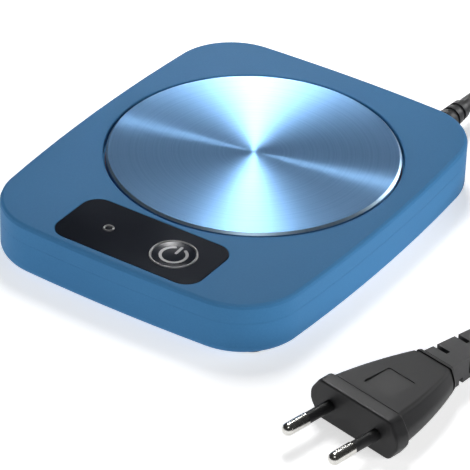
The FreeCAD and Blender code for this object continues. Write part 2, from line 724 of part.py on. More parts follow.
def make_board():
    slab = block("BoardSlab", "board_width", "board_length", "board_thickness",
                 ("0", "panel_y", "board_z"))
    holes = [
        cylinder(f"BoardHole{index}", "board_screw_radius + screw_gap", "2 * board_thickness",
                 (x, y, "board_z - board_thickness / 2"))
        for index, (x, y) in enumerate(BOARD_SPOTS)
    ]
    keep("control_board", cut("control_board", slab, holes))
    screws = [
        screw(f"BoardScrew{index}", "board_head_radius", "board_head_height", "board_screw_radius",
              "board_screw_length", (x, y, "board_top_z"), head_down=False)
        for index, (x, y) in enumerate(BOARD_SPOTS)
    ]
    keep("board_screws", grouped("board_screws", screws))
    spot = ("control_x", "control_y")
    case = block("SwitchBlock", "switch_side", "switch_side", "switch_height", (*spot, "board_top_z"))
    well = cylinder("SwitchWell", "plunger_radius + cap_gap", "switch_height", (*spot, "pocket_z"))
    keep("switch_body", cut("switch_body", case, [well]))
    keep("switch_dome", cylinder("switch_dome", "dome_radius", "dome_thickness", (*spot, "pocket_z")))
    keep("switch_plunger", cylinder("switch_plunger", "plunger_radius", "plunger_height",
                                    (*spot, "plunger_z")))
    on_board("sensor_socket", "socket_side", "socket_side", "socket_side", "socket_x", "socket_y")
    on_board("film_capacitor", "film_length", "film_width", "film_height", "film_x", "film_y")
    on_board("triac", "triac_width", "triac_thickness", "triac_height", "triac_x", "triac_y")
    on_board("controller_chip", "chip_length", "chip_width", "chip_height", "chip_x", "chip_y")
    keep("smoothing_capacitor", cylinder("smoothing_capacitor", "can_radius", "can_height",
                                         ("can_x", "can_y", "board_top_z")))
    keep("terminal_block", block("terminal_block", "terminal_width", "terminal_depth",
                                 "terminal_height", ("terminal_x", "terminal_y", "board_top_z")))
    fuse = cylinder("fuse", "fuse_radius", "fuse_length",
                    ("fuse_x - fuse_length / 2", "fuse_y", "board_top_z + fuse_radius"))
    fuse.Placement.Rotation = Rotation(Vector(0, 1, 0), 90)
    keep("fuse", fuse)


# Leads: straight runs joined by tangent arcs

def smooth_path(points, share=0.45, name=""):
    """A wire through the points, with an arc at each corner as large as its two runs allow."""
    edges, radii, last = [], [], points[0]
    for before, corner, after in zip(points, points[1:], points[2:]):
        incoming, outgoing = corner - before, after - corner
        turn = incoming.getAngle(outgoing)
        setback = share * min(incoming.Length, outgoing.Length)
        radii.append(setback / math.tan(turn / 2))
        start = corner - incoming.normalize() * setback
        stop = corner + outgoing.normalize() * setback
        bisector = ((start + stop) * 0.5 - corner).normalize()
        depth = radii[-1] / math.cos(turn / 2) - radii[-1]
        edges.append(Part.LineSegment(last, start).toShape())
        edges.append(Part.Arc(start, corner + bisector * depth, stop).toShape())
        last = stop
    edges.append(Part.LineSegment(last, points[-1]).toShape())
    if name:
        print(name, "radii", [round(radius, 1) for radius in radii])
    return Part.Wire(edges)


def tube(label, points, radius, named=True):
    path = smooth_path(points, name=label if named else "")
    start = points[0]
    circle = Part.Wire(Part.Circle(start, points[1] - points[0], radius).toShape())
    solid = path.makePipeShell([circle], True, False)
    ratio = solid.Volume / (math.pi * radius ** 2 * path.Length)
    assert abs(ratio - 1) < 0.01, f"{label} {ratio}"
    print(label, "length", round(path.Length, 1))
    feature = document.addObject("Part::Feature", label)
    feature.Shape = solid
    return feature


def at(*formulas):
    return Vector(*[number(formula) for formula in formulas])


def make_inner_leads():
    """Two cores from the lead to the terminals, and the leads of the heater and the sensor."""
    radius = number("core_radius")
    low = "floor_z + core_radius + screw_gap"
    mouth = "terminal_y + terminal_depth / 2"
    lower_hole, upper_hole = (f"board_top_z + terminal_height * {share}" for share in (0.33, 0.8))
    for side, label in ((-1, "live_core"), (1, "neutral_core")):
        x, end_x = (f"{start} + {side} * core_spacing / 2" for start in ("cord_x", "terminal_x"))
        skew = f"{side} * core_spacing / 4"
        keep(label, tube(label, [
            at(x, "core_y", "cord_z"), at(x, "core_y - 8", "cord_z"),
            at(f"{x} - 3", f"core_y - 20 - {skew}", low),
            at(f"{x} - 16", f"core_y - 44 - {skew}", low),
            at(f"{end_x} + 20", f"plate_y - 24 - {skew}", low),
            at(f"{end_x} + 3", f"plate_y - 38 - {skew}", low),
            at(end_x, f"{mouth} + 9", lower_hole), at(end_x, mouth, lower_hole),
        ], radius))
    tab_x, tab_y = "core_spacing * 0.6", "plate_y + lead_hole_y"
    keep("heater_lead_a", tube("heater_lead_a", [
        at(f"-{tab_x}", tab_y, "plate_z - element_thickness"),
        at(f"-{tab_x}", tab_y, "clamp_under_z - 3"),
        at(f"-{tab_x} - 7", f"{tab_y} - 8", "clamp_under_z - 5"),
        at("terminal_x + 8", f"{mouth} + 14", "clamp_under_z - 3"),
        at("terminal_x - core_spacing", f"{mouth} + 8", upper_hole),
        at("terminal_x - core_spacing", mouth, upper_hole),
    ], radius))
    cutout_end, middle = "cutout_x - cutout_length / 2", "clamp_under_z - cutout_height / 2"
    keep("heater_lead_b", tube("heater_lead_b", [
        at(cutout_end, "plate_y", middle), at(f"{cutout_end} - 5", "plate_y", middle),
        at(f"{cutout_end} - 11", "plate_y - 8", "floor_z + 3.4"),
        at(f"{cutout_end} - 15", "plate_y - 21", "floor_z + 3.4"),
        at(f"{cutout_end} - 23", "plate_y - 42", "clamp_under_z - 2.2"),
        at("terminal_x + core_spacing", f"{mouth} + 8", upper_hole),
        at("terminal_x + core_spacing", mouth, upper_hole),
    ], radius))
    cutout_front = "plate_y - cutout_width / 2"
    keep("heater_link", tube("heater_link", [
        at("cutout_x - 4", cutout_front, middle), at("cutout_x - 4", f"{cutout_front} - 4", middle),
        at("cutout_x - 10", f"{tab_y} + 1", "clamp_under_z - 2.6"),
        at(tab_x, tab_y, "clamp_under_z - 2.2"),
        at(tab_x, tab_y, "plate_z - element_thickness"),
    ], radius))
    sensor_foot = "clamp_under_z - sensor_height"
    socket_mouth, socket_z = "socket_y + socket_side / 2", "board_top_z + socket_side / 2"
    keep("sensor_lead", tube("sensor_lead", [
        at("sensor_x", "plate_y", sensor_foot), at("sensor_x", "plate_y", f"{sensor_foot} - 3"),
        at("sensor_x - 4", "plate_y - 12", "floor_z + 3.4"),
        at("sensor_x - 3", "plate_y - 27", "floor_z + 3.4"),
        at("socket_x - 5", f"{socket_mouth} + 16", "floor_z + 3.6"),
        at("socket_x", f"{socket_mouth} + 8", socket_z), at("socket_x", socket_mouth, socket_z),
    ], radius))


# Mains lead: strain relief, sheath and clamp

def make_strain_relief():
    """A tapered boot with ring grooves, its neck in the back wall and its flange behind it."""
    outer_end = "wall + boot_reach"
    taper = "(boot_root - boot_tip) / boot_reach"
    bore = "cord_radius + cord_bore_gap"
    profile = [
        (bore, "-boot_flange_thickness"), ("boot_flange_radius", "-boot_flange_thickness"),
        ("boot_flange_radius", "-boot_seat_gap"), ("boot_neck - thread_gap", "-boot_seat_gap"),
        ("boot_neck - thread_gap", "wall + boot_seat_gap"), ("boot_root", "wall + boot_seat_gap"),
    ]
    for index in range(int(number("groove_count"))):
        start = f"groove_start + {index} * groove_step"
        stop = f"{start} + groove_width"
        skin_start, skin_stop = (f"boot_root - {taper} * ({reach})" for reach in (start, stop))
        profile += [
            (skin_start, f"wall + {start}"), (f"{skin_start} - groove_depth", f"wall + {start}"),
            (f"{skin_stop} - groove_depth", f"wall + {stop}"), (skin_stop, f"wall + {stop}"),
        ]
    profile += [("boot_tip", outer_end), (bore, outer_end)]
    boot = turned_body("strain_relief", profile, ("cord_x", "inner_wall_y", "cord_z"))
    boot.Placement.Rotation = Rotation(Vector(1, 0, 0), -90)
    keep("strain_relief", boot)
    sheath = cylinder("lead_sheath", "cord_radius", "wall_y + boot_reach - core_y",
                      ("cord_x", "core_y", "cord_z"))
    sheath.Placement.Rotation = Rotation(Vector(1, 0, 0), -90)
    keep("lead_sheath", sheath)


def make_lead_clamp():
    seat = "cord_z + cord_radius"
    length = "2 * (bar_screw_x + bar_post_radius)"
    bar = block("BarBlock", length, "bar_width", "bar_height", ("cord_x", "bar_y", seat))
    holes = [
        cylinder(f"BarHole{index}", "board_screw_radius + screw_gap / 2", "2 * bar_height",
                 (x, y, f"{seat} - bar_height / 2"))
        for index, (x, y) in enumerate(CLAMP_BAR_SPOTS)
    ]
    keep("lead_clamp_bar", cut("lead_clamp_bar", bar, holes))
    screws = [
        screw(f"BarScrew{index}", "board_head_radius", "board_head_height", "board_screw_radius",
              "board_screw_length + bar_height", (x, y, f"{seat} + bar_height"), head_down=False)
        for index, (x, y) in enumerate(CLAMP_BAR_SPOTS)
    ]
    keep("lead_clamp_screws", grouped("lead_clamp_screws", screws))


# Free lead. The points are its route over the table, and the coil lies between the two stretches.

LEAD_ROUTE = [
    (31.0, 100.0, 8.3), (35.9, 112.2, 6.6), (45.2, 121.9, 4.2), (57.5, 127.3, 2.6),
    (71.0, 127.2, 2.6), (82.8, 122.5, 2.6),
]
TAIL_ROUTE = [
    (124.74, 43.96, 8.5), (118.6, 30.6, 4.2), (113.2, 14.6, 2.6), (107.3, -5.62, 6.85),
]


def biarc(start, start_heading, end, end_heading):
    """Two tangent arcs between two points with given headings, in space."""
    gap, sum_heading = end - start, start_heading + end_heading
    square = 2 * (1 - start_heading.dot(end_heading))
    reach = gap.dot(sum_heading)
    arm = (math.sqrt(reach ** 2 + square * gap.dot(gap)) - reach) / square
    first, second = start + start_heading * arm, end - end_heading * arm
    middle = (first + second) * 0.5
    return [bent(start, first, middle), bent(middle, second, end)]


def bent(start, corner, end):
    """The arc from start to end that is tangent to the two legs of the corner."""
    half_turn = (corner - start).getAngle(end - corner) / 2
    radius = (corner - start).Length / math.tan(half_turn)
    inwards = ((start + end) * 0.5 - corner).normalize()
    crown = corner + inwards * (radius / math.cos(half_turn) - radius)
    return Part.Arc(start, crown, end).toShape()


def coil_path():
    """Half turns that spiral in on the table, climb a layer, and spiral out on top."""
    radius, step, outer = (number(name) for name in ("cord_radius", "coil_step", "coil_outer"))
    centre = Vector(number("coil_x"), number("coil_y"), radius)
    straight = number("cord_diameter")
    turn_in, turn_out = 5, 4
    last_turn = math.radians(120)
    spot = centre + Vector(0, outer, 0)
    edges = [Part.LineSegment(spot - Vector(straight, 0, 0), spot).toShape()]
    north, reach = True, outer

    def half_turn(spot, reach, north):
        sign = 1 if north else -1
        end = spot - Vector(0, sign * 2 * reach, 0)
        crown = (spot + end) * 0.5 + Vector(sign * reach, 0, 0)
        edges.append(Part.Arc(spot, crown, end).toShape())
        return end

    for _ in range(turn_in):
        spot = half_turn(spot, reach, north)
        north, reach = not north, reach - step / 2
    end = spot + Vector(0, 2 * reach, step)
    edges.extend(biarc(spot, Vector(-1, 0, 0), end, Vector(1, 0, 0)))
    spot, north, reach = end, True, reach + step / 2
    for _ in range(turn_out):
        spot = half_turn(spot, reach, north)
        north, reach = not north, reach + step / 2
    middle = spot - Vector(0, reach, 0)
    crown, end = (
        middle + Vector(reach * math.sin(angle), reach * math.cos(angle), 0)
        for angle in (last_turn / 2, last_turn)
    )
    edges.append(Part.Arc(spot, crown, end).toShape())
    heading = Vector(math.cos(last_turn), -math.sin(last_turn), 0)
    edges.append(Part.LineSegment(end, end + heading * straight).toShape())
    return Part.Wire(edges), spot_before(edges[0]), end + heading * straight


def spot_before(edge):
    return edge.Vertexes[0].Point


def least_self_gap(path, diameter, spacing=2.0):
    """The least clear space between turns that lie more than half a turn apart."""
    points = path.discretize(Distance=spacing)
    skip = int(math.pi * number("coil_outer") / 2 / spacing)
    least = min(
        points[i].distanceToPoint(points[j])
        for i in range(len(points)) for j in range(i + skip, len(points))
    )
    return least - diameter


def make_free_lead():
    radius, diameter = number("cord_radius"), number("cord_diameter")
    path, coil_start, coil_end = coil_path()
    circle = Part.Wire(Part.Circle(coil_start, Vector(1, 0, 0), radius).toShape())
    shape = path.makePipeShell([circle], True, False)
    ratio = shape.Volume / (math.pi * radius ** 2 * path.Length)
    gap = least_self_gap(path, diameter)
    print("cord_coil length", round(path.Length, 1), "volume ratio", round(ratio, 4),
          "least gap", round(gap, 2))
    assert gap > 0.4 and abs(ratio - 1) < 0.01
    coil = document.addObject("Part::Feature", "cord_coil")
    coil.Shape = shape
    route = [at("cord_x", "wall_y + boot_reach", "cord_z")]
    route += [Vector(*point) for point in LEAD_ROUTE] + [coil_start]
    keep("power_cord", tube("power_cord", route, radius))
    keep("cord_coil", coil)
    relief_end = PLUG_PLACE.multVec(Vector(0, number("plug_depth + relief_length"), 0))
    route = [coil_end] + [Vector(*point) for point in TAIL_ROUTE] + [relief_end]
    keep("cord_tail", tube("cord_tail", route, radius))


# Two-pin plug. Its own frame has the front face at zero, the pins forwards and the cord behind.

PLUG_PLACE = Placement(
    at("plug_front_x", "plug_front_y", "plug_z"),
    Rotation(Vector(0, 0, 1), number("plug_turn")),
)


def on_plug(label, shape):
    feature = document.addObject("Part::Feature", label)
    feature.Shape = shape
    feature.Placement = PLUG_PLACE
    keep(label, feature)


def mirrored_face(right_side, plane):
    """A face from its right-hand outline, mirrored about the middle."""
    corners = right_side + [(-x, y) for x, y in reversed(right_side)]
    points = [plane(x, y) for x, y in corners]
    return Part.Face(Part.makePolygon(points + points[:1]))


def plug_plan():
    """The plug from above: a wide flange, then sides that curve in to the rear."""
    half, shoulder, rear = (number(f"{name} / 2") for name in ("plug_width", "shoulder_width",
                                                             "plug_rear_width"))
    step, depth, pull = number("flange_depth"), number("plug_depth"), number("waist_pull")
    edges = []
    for side in (1, -1):
        corners = [Vector(side * x, y, 0) for x, y in ((half, 0), (half, step), (shoulder, step))]
        middle = Vector(side * ((shoulder + rear) / 2 + pull), (step + depth) / 2, 0)
        waist = Part.Arc(corners[2], middle, Vector(side * rear, depth, 0)).toShape()
        edges += [Part.LineSegment(*pair).toShape() for pair in zip(corners, corners[1:])]
        edges.append(waist)
    for y, reach in ((0, half), (depth, rear)):
        edges.append(Part.LineSegment(Vector(-reach, y, 0), Vector(reach, y, 0)).toShape())
    return Part.Face(Part.Wire(Part.__sortEdges__(edges)))


def make_plug():
    height, depth = number("plug_height"), number("plug_depth")
    width, bevel = number("plug_width"), number("plug_bevel")
    plan = plug_plan()
    plan.translate(Vector(0, 0, -height))
    solid = plan.extrude(Vector(0, 0, 2 * height))
    section = mirrored_face([(width / 2 - bevel, -height / 2), (width / 2, -height / 8),
                             (width / 2, height / 8), (width / 2 - bevel, height / 2)],
                            lambda x, z: Vector(x, 0, z))
    step, shoulder, rear = number("flange_depth"), number("shoulder_height"), number("plug_rear_height")
    side = mirrored_face([(height / 2, 0), (height / 2, step), (shoulder / 2, step),
                          (rear / 2, depth)], lambda z, y: Vector(-width, y, z))
    solid = solid.common(section.extrude(Vector(0, depth, 0)))
    solid = solid.common(side.extrude(Vector(2 * width, 0, 0)))
    axis, core = Vector(0, 1, 0), number("sleeve_core")
    pins, sleeves = [], []
    for x in (number("-pin_spacing / 2"), number("pin_spacing / 2")):
        solid = solid.cut(Part.makeCylinder(core, number("pin_root"), Vector(x, 0, 0), axis))
        pins.append(make_pin(x))
        sleeve = Part.makeCylinder(number("sleeve_radius"), number("sleeve_length"), Vector(x, 0, 0), -axis)
        hollow = Part.makeCylinder(core, number("sleeve_length"), Vector(x, 0, 0), -axis)
        sleeves.append(sleeve.cut(hollow))
    on_plug("plug_body", solid)
    for side_name, pin, sleeve in zip(("left", "right"), pins, sleeves):
        on_plug("plug_pin_" + side_name, pin)
        on_plug("pin_sleeve_" + side_name, sleeve)


def make_pin(x):
    """A round pin with a domed tip and a thinner core under the sleeve."""
    radius, length = number("pin_radius"), number("pin_length")
    sleeve, root = number("sleeve_length"), number("pin_root")
    forwards = Vector(0, -1, 0)
    core = Part.makeCylinder(number("sleeve_core"), sleeve + root, Vector(x, root, 0), forwards)
    shank = Part.makeCylinder(radius, length - sleeve - radius, Vector(x, -sleeve, 0), forwards)
    tip = Part.makeSphere(radius, Vector(x, radius - length, 0))
    return core.fuse([shank, tip]).removeSplitter()


def make_plug_relief():
    """A tapered sleeve behind the plug, slotted in turn from above and from the sides."""
    start, length = number("plug_depth"), number("relief_length")

    def frame(width, height, y):
        x, z = number(width) / 2, number(height) / 2
        corners = [Vector(-x, y, -z), Vector(x, y, -z), Vector(x, y, z), Vector(-x, y, z)]
        return Part.makePolygon(corners + corners[:1])

    solid = Part.makeLoft([frame("relief_width", "relief_height", start),
                           frame("relief_tip_width", "relief_tip_height", start + length)], True, True)
    count, width, depth = int(number("slot_count")), number("slot_width"), number("slot_depth")
    half_width, half_height = number("relief_width") / 2, number("relief_height") / 2
    pitch = length / (count + 1)
    for index in range(1, count + 1):
        y = start + index * pitch - width / 2
        slim = 1 - index * pitch / length * (1 - number("relief_tip_width / relief_width"))
        for sign in (1, -1):
            if index % 2:
                x = -half_width if sign > 0 else 0.2 * half_width
                z = sign * (half_height * slim - depth / 2) - depth / 2
                slot = Part.makeBox(0.8 * half_width + 1, width, 2 * depth, Vector(x, y, z))
                if sign < 0:
                    slot.translate(Vector(0, 0, -depth))
            else:
                x = sign * (half_width * slim - depth / 2) - depth
                slot = Part.makeBox(2 * depth, width, half_height, Vector(x, y, -half_height / 2))
            solid = solid.cut(slot)
    on_plug("plug_strain_relief", solid)


# Build, check and write

make_top_shell()
make_bottom_cover()
make_feet()
make_case_screws()
make_plate()
make_heater_stack()
make_panel()
trim_ring("button_ring", "bore_radius", "ring_radius", ("control_x", "control_y", "panel_seat_z"))
trim_ring("indicator_ring", "lens_radius + thread_gap", "lens_ring_radius",
          ("-control_x", "control_y", "panel_seat_z"))
make_button()
make_indicator()
make_board()
make_inner_leads()
make_strain_relief()
make_lead_clamp()
make_free_lead()
make_plug()
make_plug_relief()

document.removeObject(gauge.Name)
document.recompute()
for item in document.Objects:
    assert not {"Invalid", "Error"} & set(item.State), item.Label
os.makedirs("parts", exist_ok=True)
for piece in PIECES:
    assert not piece.Shape.isNull() and piece.Shape.isValid(), piece.Label
    piece.Shape.exportStep(f"parts/{piece.Label}.step")
print(len(PIECES), "sub-parts")
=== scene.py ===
import math

import bmesh
import bpy
from mathutils import Matrix, Vector


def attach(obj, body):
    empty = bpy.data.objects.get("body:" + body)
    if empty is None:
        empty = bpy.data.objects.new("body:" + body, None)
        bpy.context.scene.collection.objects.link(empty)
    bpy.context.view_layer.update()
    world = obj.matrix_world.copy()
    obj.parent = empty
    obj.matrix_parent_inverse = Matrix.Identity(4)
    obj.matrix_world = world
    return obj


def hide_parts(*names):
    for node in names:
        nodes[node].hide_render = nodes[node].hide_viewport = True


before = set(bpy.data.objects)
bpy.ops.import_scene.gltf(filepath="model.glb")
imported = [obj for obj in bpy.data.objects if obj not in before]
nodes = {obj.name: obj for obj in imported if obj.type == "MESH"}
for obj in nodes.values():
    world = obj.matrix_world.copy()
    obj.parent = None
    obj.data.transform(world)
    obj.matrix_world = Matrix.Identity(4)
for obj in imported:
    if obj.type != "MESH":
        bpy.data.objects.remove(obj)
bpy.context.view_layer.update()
bpy.ops.object.select_all(action="DESELECT")
MM = 0.001


# Camera: a long lens from the front right, as a maker's catalogue picture is taken. It looks at the
# middle of the housing from about a metre away, turned a little about its own axis.

CAMERA_AZIMUTH, CAMERA_ELEVATION, CAMERA_ROLL = 32.83, 33.77, 1.82
CAMERA_DISTANCE, TARGET_RIGHT, TARGET_UP, BASE_LIFT = 1050.4, -0.17, -7.01, 1.5
PICTURE_SIDE, FOCAL_PIXELS, SENSOR = 470, 3294.75, 36.0
NEAREST_SEEN, FARTHEST_SEEN = 0.05, 20.0


def heading(azimuth, elevation):
    """The way from the warmer to this azimuth and elevation; 0 is at the front, 90 at the right."""
    side, lift = math.radians(azimuth), math.radians(elevation)
    return Vector((math.sin(side) * math.cos(lift), -math.cos(side) * math.cos(lift),
                   math.sin(lift)))


turn, roll = math.radians(CAMERA_AZIMUTH), math.radians(CAMERA_ROLL)
back = heading(CAMERA_AZIMUTH, CAMERA_ELEVATION)
right = Vector((math.cos(turn), math.sin(turn), 0.0))
up = back.cross(right)
place = back * CAMERA_DISTANCE + right * TARGET_RIGHT + up * TARGET_UP + Vector((0, 0, BASE_LIFT))
rolled_right = right * math.cos(roll) + up * math.sin(roll)
rolled_up = up * math.cos(roll) - right * math.sin(roll)

camera_data = bpy.data.cameras.new("camera")
camera_data.sensor_width = SENSOR
camera_data.lens = FOCAL_PIXELS * SENSOR / PICTURE_SIDE
camera_data.clip_start, camera_data.clip_end = NEAREST_SEEN, FARTHEST_SEEN
camera = bpy.data.objects.new("camera", camera_data)
bpy.context.scene.collection.objects.link(camera)
bpy.context.scene.camera = camera
camera.matrix_world = Matrix.Translation(place * MM) @ Matrix(
    (rolled_right, rolled_up, back)).transposed().to_4x4()


# Studio: a white table under an even tent, paler near the horizon than overhead. Five glints, seen
# in reflections alone, draw the plate's wedges and its rim; one has a grid that favours the far
# half. The softbox behind lights everything, and the large ones at the sides only the paint.

TENT_HORIZON, TENT_TOP = 0.95, 0.50
TABLE_SIZE, TABLE_SHADE, TABLE_GLOW = 6.0, 0.93, 0.60
BEHIND, BESIDE = CAMERA_AZIMUTH + 180, CAMERA_AZIMUTH + 126
RIGHT_SIDE, LEFT_SIDE = 100, -35
AIM_HEIGHT, GRID_REACH, GRID_SPREAD, OPEN_SPREAD = 0.01, 0.13, 24, 180

bpy.context.scene.view_settings.view_transform = "Standard"
world = bpy.data.worlds.new("tent")
bpy.context.scene.world = world
world.use_nodes = True
tent = world.node_tree
sky = tent.nodes["Background"]
coords = tent.nodes.new("ShaderNodeTexCoord")
split = tent.nodes.new("ShaderNodeSeparateXYZ")
fade = tent.nodes.new("ShaderNodeMapRange")
fade.inputs["From Min"].default_value, fade.inputs["From Max"].default_value = 0.0, 1.0
fade.inputs["To Min"].default_value, fade.inputs["To Max"].default_value = TENT_HORIZON, TENT_TOP
tent.links.new(coords.outputs["Generated"], split.inputs[0])
tent.links.new(split.outputs["Z"], fade.inputs["Value"])
tent.links.new(fade.outputs[0], sky.inputs["Strength"])


def softbox(name, azimuth, elevation, distance, size, power, aim=Vector((0, 0, AIM_HEIGHT)),
            spread=OPEN_SPREAD):
    """An area light of this width and height in metres and power in watts that faces its aim."""
    lamp = bpy.data.lights.new(name, "AREA")
    lamp.shape, lamp.energy, lamp.spread = "RECTANGLE", power, math.radians(spread)
    lamp.size, lamp.size_y = size
    box = bpy.data.objects.new(name, lamp)
    bpy.context.scene.collection.objects.link(box)
    out = heading(azimuth, elevation)
    box.location = aim + out * distance
    box.rotation_mode = "QUATERNION"
    box.rotation_quaternion = out.to_track_quat("Z", "Y")
    return box


glints = [
    softbox("softbox_glint", BEHIND, 70, 0.5, (0.14, 0.20), power=0.12),
    softbox("softbox_core", BEHIND, 56, 0.9, (0.08, 0.20), power=0.16,
            aim=heading(BEHIND, 0) * GRID_REACH, spread=GRID_SPREAD),
    softbox("softbox_low", BEHIND, 15, 0.9, (0.20, 0.06), power=0.6),
    softbox("softbox_side", BESIDE, 20, 1.0, (0.09, 0.20), power=3.2),
    softbox("softbox_rim", CAMERA_AZIMUTH, 57, 1.4, (0.40, 0.25), power=1.3),
]
for glint in glints:
    glint.visible_diffuse = False
softbox("softbox_back", BEHIND, 66, 0.5, (0.12, 0.20), power=1.35)
fills = [
    softbox("softbox_right", RIGHT_SIDE, 12, 1.3, (1.2, 0.4), power=15.0),
    softbox("softbox_left", LEFT_SIDE, 10, 1.3, (1.2, 0.4), power=6.5),
]
for fill in fills:
    fill.visible_glossy = False

bpy.ops.mesh.primitive_plane_add(size=TABLE_SIZE)
table = bpy.context.object
table.name = "table"
table_finish = bpy.data.materials.new("table_white")
table_finish.use_nodes = True
shader = table_finish.node_tree.nodes["Principled BSDF"]
shader.inputs["Base Color"].default_value = (TABLE_SHADE, TABLE_SHADE, TABLE_SHADE, 1)
shader.inputs["Roughness"].default_value = 0.8
shader.inputs["Specular IOR Level"].default_value = 0.1
shader.inputs["Emission Color"].default_value = (1, 1, 1, 1)
shader.inputs["Emission Strength"].default_value = TABLE_GLOW
table.data.materials.append(table_finish)
table.select_set(False)


# Mains lead: a round black two-core cord in PVC, 5.2 mm thick and 1.24 m long. It leaves the back
# wall through its strain relief, bends, lies in a coil of two layers and runs on to the plug.

CORD_DIAMETER = 5.2
EXIT = (31.0, 87.51, 8.3)
LEAD_ROUTE = [
    EXIT, (31.0, 100.0, 8.3), (35.9, 112.2, 6.6), (45.2, 121.9, 4.2), (57.5, 127.3, 2.6),
    (71.0, 127.2, 2.6), (82.8, 122.5, 2.6), (94.8, 122.5, 2.6),
]
TAIL_ROUTE = [
    (130.74, 54.35, 8.5), (124.74, 43.96, 8.5), (118.6, 30.6, 4.2), (113.2, 14.6, 2.6),
    (107.3, -5.62, 6.85), (104.158, -20.288, 6.85),
]
COIL_CENTRE, COIL_REACH, COIL_STEP = (100.0, 84.0), 38.5, 5.9
LOWER_TURNS, UPPER_TURNS, LAST_SWEEP, POINTS_PER_HALF = 5, 4, 120, 8


def coil_points():
    """Half turns that spiral in on the table, climb onto the lower layer, and spiral out again."""
    spot, z = Vector((COIL_CENTRE[0], COIL_CENTRE[1] + COIL_REACH)), CORD_DIAMETER / 2
    side, points = 1, []
    turns = [(COIL_REACH - COIL_STEP / 2 * k, 180, 0) for k in range(LOWER_TURNS)]
    turns.append((COIL_REACH - COIL_STEP / 2 * LOWER_TURNS, 180, COIL_STEP))
    turns += [(COIL_REACH - COIL_STEP / 2 * (UPPER_TURNS - k), 180, 0) for k in range(UPPER_TURNS)]
    turns.append((COIL_REACH, LAST_SWEEP, 0))
    for reach, sweep, rise in turns:
        middle = spot - Vector((0, side * reach))
        steps = round(POINTS_PER_HALF * sweep / 180)
        part = math.radians(sweep) / steps
        wide = reach / math.cos(part / 2)
        for index in range(steps):
            angle = (index + 0.5) * part
            spread = Vector((math.sin(angle), math.cos(angle))) * side * wide
            points.append((*(middle + spread), z + rise * (index + 0.5) / steps))
        spot, side, z = middle - Vector((0, side * reach)), -side, z + rise
    return points


route = LEAD_ROUTE + coil_points() + TAIL_ROUTE
cord_curve = bpy.data.curves.new("mains_cord", "CURVE")
cord_curve.dimensions = "3D"
cord_curve.bevel_depth = CORD_DIAMETER / 2 * MM
cord_curve.bevel_resolution, cord_curve.resolution_u = 8, 6
spline = cord_curve.splines.new("NURBS")
spline.points.add(len(route) - 1)
for point, spot in zip(spline.points, route):
    point.co = (*(value * MM for value in spot), 1)
spline.order_u = 3
spline.use_endpoint_u = True
mains_cord = bpy.data.objects.new("mains_cord", cord_curve)
bpy.context.scene.collection.objects.link(mains_cord)


def grain_group():
    """Fine moulded grain with slow cloudy shifts: a shade from 0 to 1 and a height for bump."""
    group = bpy.data.node_groups.new("moulded_grain", "ShaderNodeTree")
    face = group.interface
    for name, value in (("Grain Scale", 900.0), ("Cloud Scale", 25.0), ("Cloud Share", 0.5)):
        face.new_socket(name, in_out="INPUT", socket_type="NodeSocketFloat").default_value = value
    for name in ("Shade", "Height"):
        face.new_socket(name, in_out="OUTPUT", socket_type="NodeSocketFloat")
    into, out = group.nodes.new("NodeGroupInput"), group.nodes.new("NodeGroupOutput")
    coords = group.nodes.new("ShaderNodeTexCoord")
    noises = []
    for socket, detail in (("Grain Scale", 3.0), ("Cloud Scale", 2.0)):
        noise = group.nodes.new("ShaderNodeTexNoise")
        noise.inputs["Detail"].default_value = detail
        group.links.new(coords.outputs["Object"], noise.inputs["Vector"])
        group.links.new(into.outputs[socket], noise.inputs["Scale"])
        noises.append(noise)
    mix = group.nodes.new("ShaderNodeMix")
    group.links.new(into.outputs["Cloud Share"], mix.inputs["Factor"])
    group.links.new(noises[0].outputs["Fac"], mix.inputs["A"])
    group.links.new(noises[1].outputs["Fac"], mix.inputs["B"])
    group.links.new(mix.outputs["Result"], out.inputs["Shade"])
    group.links.new(noises[0].outputs["Fac"], out.inputs["Height"])
    return group


GRAIN = grain_group()
SHADE_LOW, SHADE_HIGH, GRAIN_RELIEF = 0.35, 0.65, 0.02


def moulded(name, dark, light, rough=(0.4, 0.5), grain=900.0, cloud=25.0, share=0.5, bump=0.05,
            **sockets):
    """A moulded, cast or painted finish: two close colours and two roughnesses, with fine grain."""
    finish = bpy.data.materials.new(name)
    finish.use_nodes = True
    tree = finish.node_tree
    shader = tree.nodes["Principled BSDF"]
    effect = tree.nodes.new("ShaderNodeGroup")
    effect.node_tree = GRAIN
    for socket, value in (("Grain Scale", grain), ("Cloud Scale", cloud), ("Cloud Share", share)):
        effect.inputs[socket].default_value = value
    shades = tree.nodes.new("ShaderNodeValToRGB")
    ends = zip(shades.color_ramp.elements, (SHADE_LOW, SHADE_HIGH), (dark, light))
    for stop, place, colour in ends:
        stop.position, stop.color = place, (*colour, 1)
    tree.links.new(effect.outputs["Shade"], shades.inputs["Fac"])
    tree.links.new(shades.outputs["Color"], shader.inputs["Base Color"])
    gloss = tree.nodes.new("ShaderNodeMapRange")
    gloss.inputs["From Min"].default_value = SHADE_LOW
    gloss.inputs["From Max"].default_value = SHADE_HIGH
    gloss.inputs["To Min"].default_value, gloss.inputs["To Max"].default_value = rough
    tree.links.new(effect.outputs["Shade"], gloss.inputs["Value"])
    tree.links.new(gloss.outputs[0], shader.inputs["Roughness"])
    if bump:
        raised = tree.nodes.new("ShaderNodeBump")
        raised.inputs["Strength"].default_value = bump
        raised.inputs["Distance"].default_value = GRAIN_RELIEF * MM
        tree.links.new(effect.outputs["Height"], raised.inputs["Height"])
        tree.links.new(raised.outputs["Normal"], shader.inputs["Normal"])
    for socket, value in sockets.items():
        shader.inputs[socket.replace("_", " ")].default_value = value
    return finish


def dress(finish, *names):
    """Gives CAD nodes their finish."""
    for name in names:
        nodes[name].data.materials.clear()
        nodes[name].data.materials.append(finish)


